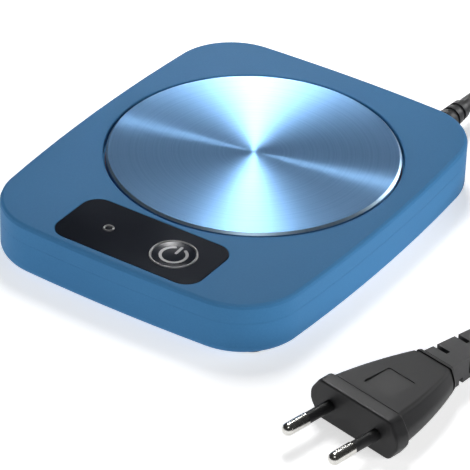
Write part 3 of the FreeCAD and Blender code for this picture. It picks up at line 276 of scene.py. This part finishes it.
cord_finish = moulded("cord_pvc", (0.012, 0.012, 0.013), (0.020, 0.020, 0.022), rough=(0.42, 0.55),
                      grain=700.0, share=0.3, bump=0.25)
cord_curve.materials.append(cord_finish)
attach(mains_cord, "housing")
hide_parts("power_cord", "cord_coil", "cord_tail")
dress(cord_finish, "lead_sheath", "strain_relief", "plug_strain_relief")


# Housing: a top shell and a bottom cover, moulded in ABS and sprayed with a soft-touch blue paint.
# The shell's rim is a narrow band of two facets with fine creases, and its lower edge leaves a
# parting line where it meets the cover. Four screws from below hold the two together.

BODY_WIDTH, BODY_LENGTH, CORNER_RADIUS = 111.5, 136.5, 21.6
FLANK_BOW, END_BOW, WALL = 590.0, 650.0, 2.2
PARTING, ROOF, TOP = 13.0, 17.1, 19.5
RIM_BAND, PARTING_EDGE, RECESS_EDGE, SEAT_EDGE = 1.2, 0.08, 0.45, 0.25
PLATE_Y, RECESS_RADIUS, LEDGE_RADIUS, LEDGE = 9.2, 47.9, 44.5, 16.5
COLLAR_WALL, COLLAR_FOOT = 1.8, 14.5
PANEL_Y, PANEL_WIDTH, PANEL_LENGTH, PANEL_CORNER = -52.7, 53.3, 24.3, 5.9
PANEL_SEAT, PANEL_GAP = 18.3, 0.1
CONTROL_X, CONTROL_Y, BORE_RADIUS, LENS_BORE = 12.1, -53.0, 6.85, 1.15
NEAR, CREASE, OVERCUT = 0.1, 20, 1.0


def arc(x, y, radius, start, stop, steps):
    """Points along an arc, without its last one."""
    angles = [start + (stop - start) * index / steps for index in range(steps)]
    return [(x + radius * math.cos(angle), y + radius * math.sin(angle)) for angle in angles]


def housing_outline(inset=0.0):
    """The housing from above: bowed flanks and ends that run into round corners."""
    flank_x, end_y = BODY_WIDTH / 2 - FLANK_BOW, BODY_LENGTH / 2 - END_BOW
    reach, end_reach = FLANK_BOW - CORNER_RADIUS, END_BOW - CORNER_RADIUS
    span = math.hypot(flank_x, end_y)
    along = (reach ** 2 - end_reach ** 2 + span ** 2) / (2 * span)
    towards = Vector((-flank_x, end_y)) / span
    corner = Vector((flank_x, 0)) + towards * along + Vector((-towards.y, towards.x)) * math.sqrt(
        reach ** 2 - along ** 2)
    flank, end = math.atan2(corner.y, corner.x - flank_x), math.atan2(corner.y - end_y, corner.x)
    half = math.pi
    points = []
    for x, y, radius, start, stop, steps in (
            (flank_x, 0, FLANK_BOW, -flank, flank, 10),
            (corner.x, corner.y, CORNER_RADIUS, flank, end, 22),
            (0, end_y, END_BOW, end, half - end, 10),
            (-corner.x, corner.y, CORNER_RADIUS, half - end, half - flank, 22),
            (-flank_x, 0, FLANK_BOW, half - flank, half + flank, 10),
            (-corner.x, -corner.y, CORNER_RADIUS, half + flank, half + end, 22),
            (0, -end_y, END_BOW, half + end, 2 * half - end, 10),
            (corner.x, -corner.y, CORNER_RADIUS, 2 * half - end, 2 * half - flank, 22)):
        points += arc(x, y, radius - inset, start, stop, steps)
    return points


def rounded_outline(x, y, width, length, radius):
    """A rectangle with round corners, from above."""
    points = []
    for side_x, side_y, start in ((1, 1, 0), (-1, 1, 90), (-1, -1, 180), (1, -1, 270)):
        middle = (x + side_x * (width / 2 - radius), y + side_y * (length / 2 - radius))
        first = math.radians(start)
        points += arc(*middle, radius, first, first + math.pi / 2, 12)
        points.append((middle[0] + radius * math.cos(first + math.pi / 2),
                       middle[1] + radius * math.sin(first + math.pi / 2)))
    return points


def prism(name, points, low, high):
    """A block with this outline from above: a filled ring of points that is extruded upwards."""
    bpy.ops.object.select_all(action="DESELECT")
    bpy.ops.mesh.primitive_circle_add(vertices=len(points), radius=0.01, fill_type="NGON")
    piece = bpy.context.object
    piece.name = name
    for vertex, (x, y) in zip(piece.data.vertices, points):
        vertex.co = (x * MM, y * MM, low * MM)
    bpy.ops.object.mode_set(mode="EDIT")
    bpy.ops.mesh.select_all(action="SELECT")
    bpy.ops.mesh.extrude_region_move(TRANSFORM_OT_translate={"value": (0, 0, (high - low) * MM)})
    bpy.ops.mesh.select_all(action="SELECT")
    bpy.ops.mesh.normals_make_consistent(inside=False)
    bpy.ops.object.mode_set(mode="OBJECT")
    return piece


def disc(name, x, y, radius, low, high, steps=96):
    """A round block."""
    return prism(name, arc(x, y, radius, 0, 2 * math.pi, steps), low, high)


def carve(piece, *tools):
    """Cuts each tool out of the piece."""
    for tool in tools:
        cut = piece.modifiers.new("cut", "BOOLEAN")
        cut.operation, cut.solver, cut.object = "DIFFERENCE", "EXACT", tool
        bpy.ops.object.select_all(action="DESELECT")
        bpy.context.view_layer.objects.active = piece
        piece.select_set(True)
        bpy.ops.object.modifier_apply(modifier="cut")
        bpy.data.objects.remove(tool)


def bevel_edges(piece, chosen, width, segments):
    """Bevels the piece's edges whose two ends are both chosen by their place in millimetres."""
    bpy.ops.object.select_all(action="DESELECT")
    bpy.context.view_layer.objects.active = piece
    piece.select_set(True)
    bpy.ops.object.mode_set(mode="EDIT")
    bpy.ops.mesh.select_mode(type="EDGE")
    bpy.ops.mesh.select_all(action="DESELECT")
    shape = bmesh.from_edit_mesh(piece.data)
    for edge in shape.edges:
        edge.select_set(all(chosen(vertex.co / MM) for vertex in edge.verts)
                        and edge.calc_face_angle(0) > math.radians(CREASE))
    bmesh.update_edit_mesh(piece.data)
    bpy.ops.mesh.bevel(offset=width * MM, segments=segments, affect="EDGES")
    bpy.ops.object.mode_set(mode="OBJECT")


def smooth(piece, angle):
    """Shades the piece smooth, apart from its edges that are sharper than this angle."""
    bpy.ops.object.select_all(action="DESELECT")
    bpy.context.view_layer.objects.active = piece
    piece.select_set(True)
    bpy.ops.object.shade_smooth_by_angle(angle=math.radians(angle))
    piece.select_set(False)


top_shell = prism("shell_top", housing_outline(), PARTING, TOP)
bevel_edges(top_shell, lambda spot: spot.z > TOP - NEAR, RIM_BAND, 2)
bevel_edges(top_shell, lambda spot: spot.z < PARTING + NEAR, PARTING_EDGE, 2)
hollow = prism("hollow", housing_outline(WALL), PARTING - OVERCUT, ROOF)
carve(hollow, disc("collar", 0, PLATE_Y, RECESS_RADIUS + COLLAR_WALL, COLLAR_FOOT, TOP))
carve(top_shell, hollow,
      disc("recess", 0, PLATE_Y, RECESS_RADIUS, LEDGE, TOP + OVERCUT, 160),
      disc("ledge", 0, PLATE_Y, LEDGE_RADIUS, PARTING, TOP),
      prism("seat", rounded_outline(0, PANEL_Y, PANEL_WIDTH + 2 * PANEL_GAP,
                                    PANEL_LENGTH + 2 * PANEL_GAP, PANEL_CORNER + PANEL_GAP),
            PANEL_SEAT, TOP + OVERCUT),
      disc("button_bore", CONTROL_X, CONTROL_Y, BORE_RADIUS, PARTING, TOP, 48),
      disc("lens_bore", -CONTROL_X, CONTROL_Y, LENS_BORE, PARTING, TOP, 24))
plate_middle = Vector((0, PLATE_Y))
bevel_edges(top_shell, lambda spot: spot.z > TOP - NEAR
            and abs((spot.xy - plate_middle).length - RECESS_RADIUS) < NEAR, RECESS_EDGE, 2)
bevel_edges(top_shell, lambda spot: spot.z > TOP - NEAR
            and abs(spot.x) < PANEL_WIDTH / 2 + 5 * NEAR
            and abs(spot.y - PANEL_Y) < PANEL_LENGTH / 2 + 5 * NEAR, SEAT_EDGE, 2)
smooth(top_shell, CREASE)

shell_finish = moulded("soft_touch_blue", (0.044, 0.168, 0.350), (0.052, 0.190, 0.385),
                       rough=(0.50, 0.58), grain=1600.0, cloud=18.0, share=0.6, bump=0.12,
                       Specular_IOR_Level=0.07)
top_shell.data.materials.append(shell_finish)
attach(top_shell, "housing")
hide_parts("top_shell")
dress(shell_finish, "bottom_cover")


# Heating plate: aluminium, faced on a lathe and anodised pale blue. The cutter leaves fine rings
# round its middle, which draw the light out into wedges. The rim has a cut chamfer, coloured a
# paler
# blue than the face: partly brighter cut metal, partly a painted highlight.

TURNED_RINGS = 1400.0
CHAMFER_LEAST, CHAMFER_MOST = 0.2, 0.95

plate_finish = moulded("turned_aluminium", (0.17, 0.360, 0.63), (0.20, 0.395, 0.67),
                       rough=(0.46, 0.50), grain=300.0, bump=0, Metallic=0.72, Anisotropic=1.0,
                       Anisotropic_Rotation=0.25)
tree = plate_finish.node_tree
turned = tree.nodes.new("ShaderNodeTangent")
turned.direction_type, turned.axis = "RADIAL", "Z"
tree.links.new(turned.outputs[0], tree.nodes["Principled BSDF"].inputs["Tangent"])
coords = tree.nodes.new("ShaderNodeTexCoord")
centred = tree.nodes.new("ShaderNodeMapping")
centred.inputs["Location"].default_value = (0, -PLATE_Y * MM, 0)
centred.inputs["Scale"].default_value = (1, 1, 0)
reach = tree.nodes.new("ShaderNodeVectorMath")
reach.operation = "LENGTH"
rings = tree.nodes.new("ShaderNodeTexNoise")
rings.noise_dimensions = "1D"
rings.inputs["Scale"].default_value = TURNED_RINGS
rings.inputs["Detail"].default_value = 3.0
tree.links.new(coords.outputs["Object"], centred.inputs["Vector"])
tree.links.new(centred.outputs[0], reach.inputs[0])
tree.links.new(reach.outputs["Value"], rings.inputs["W"])
tree.links.new(rings.outputs["Fac"], tree.nodes["Color Ramp"].inputs["Fac"])
dress(plate_finish, "heating_plate")
# The chamfer's paler blue is partly a painted highlight, on top of what the glints give it.
cut_metal_and_highlight = moulded("cut_chamfer_and_highlight", (0.45, 0.64, 0.80), (0.52, 0.70, 0.86), rough=(0.34, 0.40),
                         cloud=80.0, bump=0, Metallic=1.0)
plate = nodes["heating_plate"].data
plate.materials.append(cut_metal_and_highlight)
# Faces that slope like the chamfer take this paler blue, which is partly a painted highlight.
for face in plate.polygons:
    face.material_index = 1 if CHAMFER_LEAST < face.normal.z < CHAMFER_MOST else 0


# Control panel: a sheet of near-black glossy acrylic, cut to shape and glued in a shallow seat,
# flush with the deck. The sprung button's cap is moulded in the same black and slides in its hole.

panel_finish = moulded("panel_gloss_black", (0.007, 0.009, 0.014), (0.010, 0.013, 0.020),
                       rough=(0.16, 0.22), cloud=30.0, share=0.9, bump=0, Specular_IOR_Level=0.12)
dress(panel_finish, "control_panel", "power_button_cap")


# Trim rings, power symbol and lens: the rings are satin nickel-plated brass, pressed into the
# panel. The symbol is a matt silver inlay in the cap, and the lens is smoked clear plastic.

ring_finish = moulded("bright_nickel", (0.13, 0.13, 0.133), (0.17, 0.17, 0.173), rough=(0.34, 0.42),
                      cloud=60.0, bump=0, Metallic=1.0)
dress(ring_finish, "button_ring", "indicator_ring")
symbol_finish = moulded("silver_inlay", (0.30, 0.30, 0.31), (0.36, 0.36, 0.37), rough=(0.4, 0.5),
                        bump=0)
dress(symbol_finish, "power_symbol")
lens_finish = moulded("smoked_lens", (0.008, 0.010, 0.014), (0.012, 0.014, 0.018),
                      rough=(0.12, 0.18), bump=0)
dress(lens_finish, "indicator_lens")


# Feet: four moulded discs of dark rubber, with a matt grained face that grips the table. They are
# glued in round seats under the cover.

rubber = moulded("foot_rubber", (0.018, 0.018, 0.019), (0.030, 0.030, 0.031), rough=(0.7, 0.85),
                 grain=500.0, bump=0.5)
dress(rubber, "foot_front_left", "foot_front_right", "foot_back_left", "foot_back_right")


# Plug: a flat two-pin plug moulded in one piece round its nickel-plated pins, in the cord's own
# black. A flange guards the pins, a sunk pad lies on the top, the body curves in to the rear, and a
# groove marks it off from the slotted relief.

PLUG_SPOT, PLUG_TURN = Vector((92.0, -77.0, 6.85)), -12.1
FLANGE_WIDTH, FLANGE_HEIGHT, FLANGE_DEPTH, PLUG_BEVEL = 35.3, 13.7, 5.5, 3.4
SHOULDER_WIDTH, SHOULDER_HEIGHT, REAR_WIDTH, REAR_HEIGHT, PLUG_DEPTH = 32.6, 12.9, 15.5, 10.0, 36.0
WAIST_PULL, WAIST_STEPS = 1.2, 8
GROOVE_AT, GROOVE_WIDTH, GROOVE_DEPTH = 33.0, 1.2, 0.5
CORNER_CUT, EDGE_ROUND, EDGE_STEPS = 1.3, 0.9, 3
PAD_SIDE, PAD_Y, PAD_DEPTH, PAD_CORNER = 11.0, 15.0, 0.5, 1.0
SMOOTH_BELOW = 28

half_width, half_height = FLANGE_WIDTH / 2, FLANGE_HEIGHT / 2
corners = [(half_width, -half_height / 4), (half_width, half_height / 4),
           (half_width - PLUG_BEVEL, half_height), (PLUG_BEVEL - half_width, half_height),
           (-half_width, half_height / 4), (-half_width, -half_height / 4),
           (PLUG_BEVEL - half_width, -half_height), (half_width - PLUG_BEVEL, -half_height)]
section = []
for index, corner in enumerate(corners):
    here = Vector(corner)
    before = (Vector(corners[index - 1]) - here).normalized() * CORNER_CUT
    after = (Vector(corners[(index + 1) % len(corners)]) - here).normalized() * CORNER_CUT
    for share in (0, 0.25, 0.5, 0.75, 1):
        section.append(here + before * (1 - share) ** 2 + after * share ** 2)


def waist(y):
    """The body's width and height at this depth behind the flange."""
    share = (y - FLANGE_DEPTH) / (PLUG_DEPTH - FLANGE_DEPTH)
    width = SHOULDER_WIDTH + (REAR_WIDTH - SHOULDER_WIDTH) * share
    height = SHOULDER_HEIGHT + (REAR_HEIGHT - SHOULDER_HEIGHT) * share
    return width + 8 * WAIST_PULL * share * (1 - share), height


stations = []
for index in range(EDGE_STEPS + 1):
    angle = math.radians(90 * index / EDGE_STEPS)
    cut, y = EDGE_ROUND * (1 - math.sin(angle)), EDGE_ROUND * (1 - math.cos(angle))
    stations.append((y, FLANGE_WIDTH - 2 * cut, FLANGE_HEIGHT - 2 * cut))
stations += [(FLANGE_DEPTH - y, width, height) for y, width, height in reversed(stations)
             if width > SHOULDER_WIDTH]
stations.append((FLANGE_DEPTH, SHOULDER_WIDTH, SHOULDER_HEIGHT))
for index in range(1, WAIST_STEPS):
    y = FLANGE_DEPTH + (GROOVE_AT - FLANGE_DEPTH) * index / WAIST_STEPS
    stations.append((y, *waist(y)))
for y, cut in ((GROOVE_AT, 0), (GROOVE_AT, GROOVE_DEPTH), (GROOVE_AT + GROOVE_WIDTH, GROOVE_DEPTH),
               (GROOVE_AT + GROOVE_WIDTH, 0)):
    width, height = waist(y)
    stations.append((y, width - 2 * cut, height - 2 * cut))
stations += [(PLUG_DEPTH - EDGE_ROUND, *waist(PLUG_DEPTH - EDGE_ROUND)),
             (PLUG_DEPTH, REAR_WIDTH - 2 * EDGE_ROUND, REAR_HEIGHT - 2 * EDGE_ROUND)]

bpy.ops.object.select_all(action="DESELECT")
bpy.ops.mesh.primitive_circle_add(vertices=len(section), radius=0.01, fill_type="NGON")
plug = bpy.context.object
plug.name = "plug_moulding"
for vertex, (x, z) in zip(plug.data.vertices, section):
    vertex.co = (x * MM, 0, z * MM)
bpy.ops.object.mode_set(mode="EDIT")
bpy.ops.mesh.select_all(action="SELECT")
last_y, last_width, last_height = stations[0]
bpy.ops.transform.resize(value=(last_width / FLANGE_WIDTH, 1, last_height / FLANGE_HEIGHT),
                         center_override=(0, 0, 0))
for y, width, height in stations[1:]:
    bpy.ops.mesh.extrude_region_move(TRANSFORM_OT_translate={"value": (0, (y - last_y) * MM, 0)})
    bpy.ops.transform.resize(value=(width / last_width, 1, height / last_height),
                             center_override=(0, y * MM, 0))
    last_y, last_width, last_height = y, width, height
bpy.ops.mesh.select_all(action="SELECT")
bpy.ops.mesh.normals_make_consistent(inside=False)
bpy.ops.object.mode_set(mode="OBJECT")
carve(plug, prism("pad", rounded_outline(0, PAD_Y, PAD_SIDE, PAD_SIDE, PAD_CORNER),
                  waist(PAD_Y)[1] / 2 - PAD_DEPTH, half_height + OVERCUT))
smooth(plug, SMOOTH_BELOW)
evened = plug.modifiers.new("evened", "WEIGHTED_NORMAL")
evened.keep_sharp = True
bpy.context.view_layer.objects.active = plug
plug.select_set(True)
bpy.ops.object.modifier_apply(modifier="evened")
bpy.ops.transform.rotate(value=math.radians(-PLUG_TURN), orient_axis="Z", center_override=(0, 0, 0))
bpy.ops.transform.translate(value=PLUG_SPOT * MM)
bpy.ops.object.transform_apply(location=True, rotation=True, scale=True)

plug_finish = moulded("plug_pvc", (0.010, 0.010, 0.011), (0.017, 0.017, 0.018), rough=(0.40, 0.52),
                      grain=800.0, bump=0.25, Specular_IOR_Level=0.3)
plug.data.materials.append(plug_finish)
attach(plug, "housing")
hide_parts("plug_body")
dress(plug_finish, "pin_sleeve_left", "pin_sleeve_right")
pin_finish = moulded("pin_nickel", (0.60, 0.59, 0.56), (0.70, 0.69, 0.66), rough=(0.16, 0.26),
                     bump=0, Metallic=1.0)
dress(pin_finish, "plug_pin_left", "plug_pin_right")


# Inner pieces: the heater, pad and clamp plate under the plate, the circuit board with its soldered
# parts, and the leads between them. They are ordinary catalogue parts, screwed or clipped in place.

steel = moulded("zinc_steel", (0.45, 0.45, 0.44), (0.58, 0.58, 0.57), rough=(0.3, 0.42), bump=0,
                Metallic=1.0)
dress(steel, "housing_screws", "heater_clamp_plate", "heater_clamp_screws", "board_screws",
      "lead_clamp_screws", "switch_dome")
dress(moulded("gasket_silicone", (0.24, 0.05, 0.04), (0.32, 0.07, 0.05), rough=(0.5, 0.6)),
      "plate_gasket")
dress(moulded("heater_mica", (0.42, 0.36, 0.26), (0.55, 0.48, 0.36), rough=(0.3, 0.5), cloud=150.0),
      "heating_element")
dress(moulded("insulation_felt", (0.60, 0.58, 0.52), (0.75, 0.73, 0.67), rough=(0.85, 0.95),
              grain=1200.0, bump=0.8), "insulation_pad")
dress(moulded("board_laminate", (0.01, 0.10, 0.04), (0.02, 0.16, 0.06), rough=(0.3, 0.4)),
      "control_board")
dress(moulded("component_black", (0.012, 0.012, 0.012), (0.022, 0.022, 0.022), rough=(0.45, 0.6)),
      "thermal_cutout", "switch_body", "triac", "controller_chip", "lead_clamp_bar")
dress(moulded("component_white", (0.62, 0.62, 0.58), (0.72, 0.72, 0.68), rough=(0.4, 0.5)),
      "sensor_socket", "switch_plunger")
dress(moulded("capacitor_film", (0.40, 0.16, 0.02), (0.50, 0.20, 0.03), rough=(0.3, 0.4)),
      "film_capacitor")
dress(moulded("capacitor_can", (0.02, 0.03, 0.10), (0.03, 0.04, 0.13), rough=(0.3, 0.4)),
      "smoothing_capacitor")
dress(moulded("terminal_green", (0.02, 0.20, 0.08), (0.03, 0.26, 0.10), rough=(0.4, 0.5)),
      "terminal_block")
dress(moulded("fuse_glass", (0.55, 0.58, 0.58), (0.66, 0.68, 0.68), rough=(0.08, 0.15), bump=0),
      "fuse")
dress(moulded("sensor_epoxy", (0.25, 0.22, 0.08), (0.32, 0.28, 0.12), rough=(0.3, 0.4)),
      "temperature_sensor")
dress(moulded("lamp_epoxy", (0.6, 0.1, 0.08), (0.7, 0.13, 0.1), rough=(0.1, 0.2), bump=0),
      "indicator_lamp")
dress(moulded("live_brown", (0.12, 0.045, 0.02), (0.16, 0.06, 0.03), rough=(0.4, 0.5)), "live_core")
dress(moulded("neutral_blue", (0.02, 0.09, 0.35), (0.03, 0.12, 0.42), rough=(0.4, 0.5)),
      "neutral_core")
dress(moulded("heater_silicone", (0.60, 0.58, 0.54), (0.70, 0.68, 0.64), rough=(0.5, 0.6)),
      "heater_lead_a", "heater_lead_b", "heater_link", "sensor_lead")
